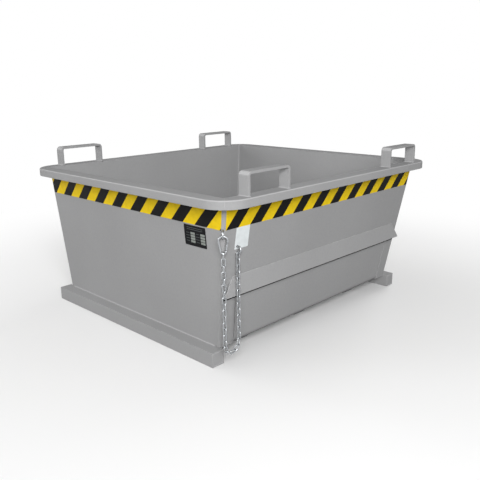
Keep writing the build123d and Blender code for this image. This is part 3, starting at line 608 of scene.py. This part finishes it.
# Snap hook, a pear of round wire with a tang for the gate, placed by the gate's pin
snap_high = EYE_WIRE + SNAP_SEAT_GAP + SNAP_WIRE - SNAP_TOP_RADIUS
snap_span = SNAP_LENGTH - SNAP_TOP_RADIUS - SNAP_BOTTOM_RADIUS - 2 * SNAP_WIRE
snap_low = snap_high - snap_span
snap_tilt = math.asin((SNAP_TOP_RADIUS - SNAP_BOTTOM_RADIUS) / snap_span)
gate_up = Vector((math.sin(snap_tilt), math.cos(snap_tilt)))
tangent_out = Vector((math.cos(snap_tilt), -math.sin(snap_tilt)))
gate_foot = Vector((0, snap_low)) + tangent_out * SNAP_BOTTOM_RADIUS + gate_up * GATE_FOOT
gate_pivot = gate_foot + gate_up * GATE_PIN_RISE
snap_nose = Vector((0, snap_high)) + tangent_out * SNAP_TOP_RADIUS - gate_up * SNAP_NOSE
snap_right = UP.cross(DIAGONAL)
snap_origin = Vector(joints["snap_gate_hinge"]["pos_m"]) - snap_right * gate_pivot.x - UP * gate_pivot.y
snap_place = plane_matrix(snap_origin, snap_right, DIAGONAL)

builder = bmesh.new()
gate_turn = math.pi / 2 - snap_tilt
stations = [(*snap_nose, gate_turn)]
stations += bow(0, snap_high, SNAP_TOP_RADIUS, -snap_tilt, math.pi + snap_tilt)
stations += bow(0, snap_low, SNAP_BOTTOM_RADIUS, math.pi + snap_tilt, 2 * math.pi - snap_tilt)
stations.append((*gate_foot, gate_turn))
wire(builder, snap_place, stations, SNAP_WIRE)
half_width = TANG_WIDTH / 2
tang = [gate_foot - tangent_out * half_width, gate_foot + tangent_out * half_width]
for step in range(TANG_STEPS + 1):
    turn = math.pi * step / TANG_STEPS
    tang.append(gate_pivot + (tangent_out * math.cos(turn) + gate_up * math.sin(turn)) * half_width)
rings = []
for level in (-TANG_THICKNESS / 2, TANG_THICKNESS / 2):
    rings.append([builder.verts.new(snap_place @ Vector((*point, level))) for point in tang])
tube_rings(builder, rings, False)
snap_hook = add_piece("snap_hook_wire", builder, materials["zinc"], "hopper", smooth=True)
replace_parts(snap_hook, "snap_hook")


# Eyes that carry the hook and the chain's end
def wire_eye(name, node, origin, outward, lean):
    """A U of wire out of a wall that leans out by a share of its rise; gives the places of its two feet."""
    origin = Vector(origin)
    half = EYE_SPREAD / 2
    stations = [(-EYE_ROOT, 0, 0)]
    stations += bow(EYE_REACH, half, half, -math.pi / 2, math.pi / 2)
    stations.append((EYE_SPREAD * lean - EYE_ROOT, EYE_SPREAD, math.pi))
    builder = bmesh.new()
    wire(builder, plane_matrix(origin, outward, outward.cross(UP)), stations, EYE_WIRE)
    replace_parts(add_piece(name, builder, materials["zinc"], "hopper", smooth=True), node)
    return [origin, origin + outward * EYE_SPREAD * lean + UP * EYE_SPREAD]


corner_lean = (math.tan(END_TAPER) + math.tan(FRONT_TAPER)) * math.sqrt(0.5)
corner_anchor = snap_origin - DIAGONAL * SNAP_STANDOFF
corner_feet = wire_eye("corner_eye_wire", "chain_corner_eye", corner_anchor, DIAGONAL, corner_lean)
low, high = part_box("chain_wall_eye")
anchor_z = (low.z + high.z - EYE_SPREAD) / 2
wall_anchor = ((low.x + high.x) / 2, front_y(anchor_z), anchor_z)
wall_feet = wire_eye("wall_eye_wire", "chain_wall_eye", wall_anchor, FORWARD, math.tan(FRONT_TAPER))

# Chain links, one for each solid of the chain
bow_radius = LINK_INNER_WIDTH / 2 + LINK_WIRE
bow_centre = LINK_INNER_LENGTH / 2 + LINK_WIRE - bow_radius
link_stations = bow(0, bow_centre, bow_radius, 0, math.pi, LINK_BOW_STEPS)
link_stations += bow(0, -bow_centre, bow_radius, math.pi, 2 * math.pi, LINK_BOW_STEPS)
builder = bmesh.new()
for points in islands("safety_chain"):
    unique = np.unique(np.round(points, POINT_DIGITS), axis=0)
    centre = unique.mean(axis=0)
    axes = np.linalg.eigh(np.cov((unique - centre).T))[1]
    wire(builder, plane_matrix(centre, axes[:, 1], axes[:, 0]), link_stations, LINK_WIRE, closed=True)
chain = add_piece("chain_links", builder, materials["zinc"], "hopper", smooth=True)
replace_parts(chain, "safety_chain")

# Welds on the hopper: lug feet, walls on the rails, rail caps, latch bearings, eyes and lever stop
builder = bmesh.new()
for y_name in ("front", "back"):
    for x_name in ("left", "right"):
        low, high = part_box("fork_lug_" + y_name + "_" + x_name)
        for start, end in ((low.x, low.x + LUG_BAR), (high.x - LUG_BAR, high.x)):
            foot = [(start, low.y, low.z), (end, low.y, low.z), (end, high.y, low.z), (start, high.y, low.z)]
            bead(builder, foot, closed=True)
front_end = front_y(WALL_BOTTOM) + WALL_BEAD_INSET
back_end = back_y(WALL_BOTTOM) - WALL_BEAD_INSET
for side in (-1, 1):
    x = side * end_x(WALL_BOTTOM)
    bead(builder, [(x, front_end, WALL_BOTTOM), (x, back_end, WALL_BOTTOM)])
for name in ("left", "right"):
    low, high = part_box("base_rail_" + name)
    left = low.x + RAIL_SHEET
    right = high.x - RAIL_SHEET
    bottom = low.z + RAIL_SHEET
    top = high.z - RAIL_SHEET
    for y in (low.y, high.y):
        cap = [(left, y, bottom), (right, y, bottom), (right, y, top), (left, y, top)]
        bead(builder, cap, FINE_BEAD, closed=True)
for low, high in spans("latch_bearings"):
    foot_z = low.z + BEARING_BEAD_FOOT
    head_z = high.z - BEARING_BEAD_HEAD
    for x in (low.x, high.x):
        bead(builder, [(x, back_y(foot_z), foot_z), (x, back_y(head_z), head_z)])
for foot in corner_feet:
    ring_bead(builder, foot, DIAGONAL, EYE_WIRE)
for foot in wall_feet:
    ring_bead(builder, foot, FORWARD, EYE_WIRE)
low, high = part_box("lever_stop")
stop_z = (low.z + high.z) / 2
ring_bead(builder, (end_x(stop_z), (low.y + high.y) / 2, stop_z), (1, 0, 0), (high.z - low.z) / 2)
add_piece("hopper_welds", builder, weld_paint, "hopper", smooth=True)

# Welds on the flap: runners, edge bars and striker plates
builder = bmesh.new()
floor_bars = [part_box("flap_runner_" + name) for name in ("left", "middle", "right")]
floor_bars += spans("flap_edge_bars")
for low, high in floor_bars:
    for x in (low.x, high.x):
        stitches(builder, (x, low.y + STITCH_LENGTH, high.z), (x, high.y, high.z))
for low, high in spans("striker_plates"):
    foot_z = low.z + STRIKER_BEAD_INSET
    head_z = high.z - STRIKER_BEAD_INSET
    for x in (low.x, high.x):
        bead(builder, [(x, low.y, foot_z), (x, low.y, head_z)], FINE_BEAD)
add_piece("flap_welds", builder, weld_paint, "flap", smooth=True)

# Welds on the latch: hooks and lever on the bar, weight on the lever
builder = bmesh.new()
latch_centre = Vector(joints["latch_throw"]["pos_m"])
low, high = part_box("latch_bar")
bar_radius = (high.z - low.z) / 2
for name in ("latch_hook_left", "latch_hook_right", "release_lever"):
    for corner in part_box(name):
        ring_bead(builder, (corner.x, latch_centre.y, latch_centre.z), (1, 0, 0), bar_radius, BAR_BEAD)
low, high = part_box("lever_weight")
weight_foot = (low.x, (low.y + high.y) / 2, (low.z + high.z) / 2)
ring_bead(builder, weight_foot, (1, 0, 0), (high.z - low.z) / 2, WEIGHT_BEAD)
add_piece("latch_welds", builder, weld_paint, "latch", smooth=True)


# Stage: pale floor that fades to white for the camera, soft lights and a white world
def seen_rays(kit, links):
    """1 for rays from the camera, and those that mirror or pass through something; 0 for light."""
    path = kit.new("ShaderNodeLightPath")
    mirrored = kit.new("ShaderNodeMath")
    mirrored.operation = "MAXIMUM"
    links.new(path.outputs["Is Camera Ray"], mirrored.inputs[0])
    links.new(path.outputs["Is Glossy Ray"], mirrored.inputs[1])
    every = kit.new("ShaderNodeMath")
    every.operation = "MAXIMUM"
    links.new(mirrored.outputs["Value"], every.inputs[0])
    links.new(path.outputs["Is Transmission Ray"], every.inputs[1])
    return every.outputs["Value"]


def floor_material():
    """Pale where it is seen, darker as a source of bounced light, and white far from the container."""
    material, kit, links, shader = new_material("studio_floor")
    tone = kit.new("ShaderNodeMix")
    tone.inputs["A"].default_value = FLOOR_LIT
    tone.inputs["B"].default_value = FLOOR_SEEN
    links.new(seen_rays(kit, links), tone.inputs["Factor"])
    links.new(tone.outputs["Result"], shader.inputs["Base Color"])
    shader.inputs["Roughness"].default_value = 0.9
    shader.inputs["Specular IOR Level"].default_value = 0.1
    reach = kit.new("ShaderNodeVectorMath")
    reach.operation = "LENGTH"
    links.new(kit.new("ShaderNodeNewGeometry").outputs["Position"], reach.inputs[0])
    fade = kit.new("ShaderNodeMapRange")
    fade.inputs["From Min"].default_value = FLOOR_NEAR
    fade.inputs["From Max"].default_value = FLOOR_FAR
    fade.interpolation_type = "SMOOTHSTEP"
    links.new(reach.outputs["Value"], fade.inputs["Value"])
    share = kit.new("ShaderNodeMath")
    share.operation = "MULTIPLY"
    links.new(fade.outputs["Result"], share.inputs[0])
    links.new(seen_rays(kit, links), share.inputs[1])
    white = kit.new("ShaderNodeEmission")
    blend = kit.new("ShaderNodeMixShader")
    links.new(share.outputs["Value"], blend.inputs[0])
    links.new(shader.outputs["BSDF"], blend.inputs[1])
    links.new(white.outputs["Emission"], blend.inputs[2])
    links.new(blend.outputs["Shader"], kit["Material Output"].inputs["Surface"])
    return material


def area_light(name, position, size, power):
    """A round soft lamp that looks at the container."""
    lamp = bpy.data.lights.new(name, "AREA")
    lamp.shape = "DISK"
    lamp.size = size
    lamp.energy = power
    holder = bpy.data.objects.new(name, lamp)
    holder.location = position
    aim = LAMP_TARGET - Vector(position)
    holder.rotation_euler = aim.to_track_quat("-Z", "Y").to_euler()
    bpy.context.scene.collection.objects.link(holder)


def studio_world():
    """White where it is seen, and a soft dome of light that is brighter overhead."""
    world = bpy.data.worlds.new("studio")
    world.use_nodes = True
    kit = world.node_tree.nodes
    links = world.node_tree.links
    sky = kit.new("ShaderNodeSeparateXYZ")
    links.new(kit.new("ShaderNodeTexCoord").outputs["Generated"], sky.inputs["Vector"])
    dome_light = kit.new("ShaderNodeMapRange")
    dome_light.inputs["To Min"].default_value = HORIZON_LIGHT
    dome_light.inputs["To Max"].default_value = ZENITH_LIGHT
    links.new(sky.outputs["Z"], dome_light.inputs["Value"])
    strength = kit.new("ShaderNodeMix")
    links.new(seen_rays(kit, links), strength.inputs["Factor"])
    links.new(dome_light.outputs["Result"], strength.inputs["A"])
    strength.inputs["B"].default_value = 1.0
    backdrop = kit["Background"]
    backdrop.inputs["Color"].default_value = (1.0, 1.0, 1.0, 1.0)
    links.new(strength.outputs["Result"], backdrop.inputs["Strength"])
    return world


floor_z = cad_low[2] - FLOOR_DROP
corner_signs = ((-1, -1), (1, -1), (1, 1), (-1, 1))
floor_corners = [(x * FLOOR_HALF, y * FLOOR_HALF, floor_z) for x, y in corner_signs]
floor_mesh = bpy.data.meshes.new("studio_floor")
floor_mesh.from_pydata(floor_corners, [], [(0, 1, 2, 3)])
floor_mesh.materials.append(floor_material())
floor = bpy.data.objects.new("studio_floor", floor_mesh)
bpy.context.scene.collection.objects.link(floor)

area_light("key_front", position=(-3.1, -3.8, 2.4), size=2.6, power=276)
area_light("fill_left", position=(-3.6, 2.6, 1.3), size=2.4, power=45)
area_light("fill_right", position=(4.4, 0.4, 1.3), size=2.4, power=100)
area_light("fill_back", position=(-0.9, 4.4, 1.3), size=2.4, power=85)
bpy.context.scene.world = studio_world()


# Camera
def picture_camera():
    """The camera at the picture's viewpoint, turned by azimuth, elevation and roll."""
    back = Vector((
        math.sin(CAMERA_AZIMUTH) * math.cos(CAMERA_ELEVATION),
        -math.cos(CAMERA_AZIMUTH) * math.cos(CAMERA_ELEVATION),
        math.sin(CAMERA_ELEVATION),
    ))
    level_right = Vector((math.cos(CAMERA_AZIMUTH), math.sin(CAMERA_AZIMUTH), 0))
    level_up = back.cross(level_right)
    right = level_right * math.cos(CAMERA_ROLL) + level_up * math.sin(CAMERA_ROLL)
    up = -level_right * math.sin(CAMERA_ROLL) + level_up * math.cos(CAMERA_ROLL)
    lens = bpy.data.cameras.new("camera")
    lens.sensor_width = SENSOR_WIDTH
    lens.lens = LENS
    camera = bpy.data.objects.new("camera", lens)
    camera.matrix_world = Matrix((right, up, back)).transposed().to_4x4()
    camera.location = CAMERA_POSITION
    bpy.context.scene.collection.objects.link(camera)
    return camera


bpy.context.scene.camera = picture_camera()
bpy.context.scene.view_settings.view_transform = "Standard"
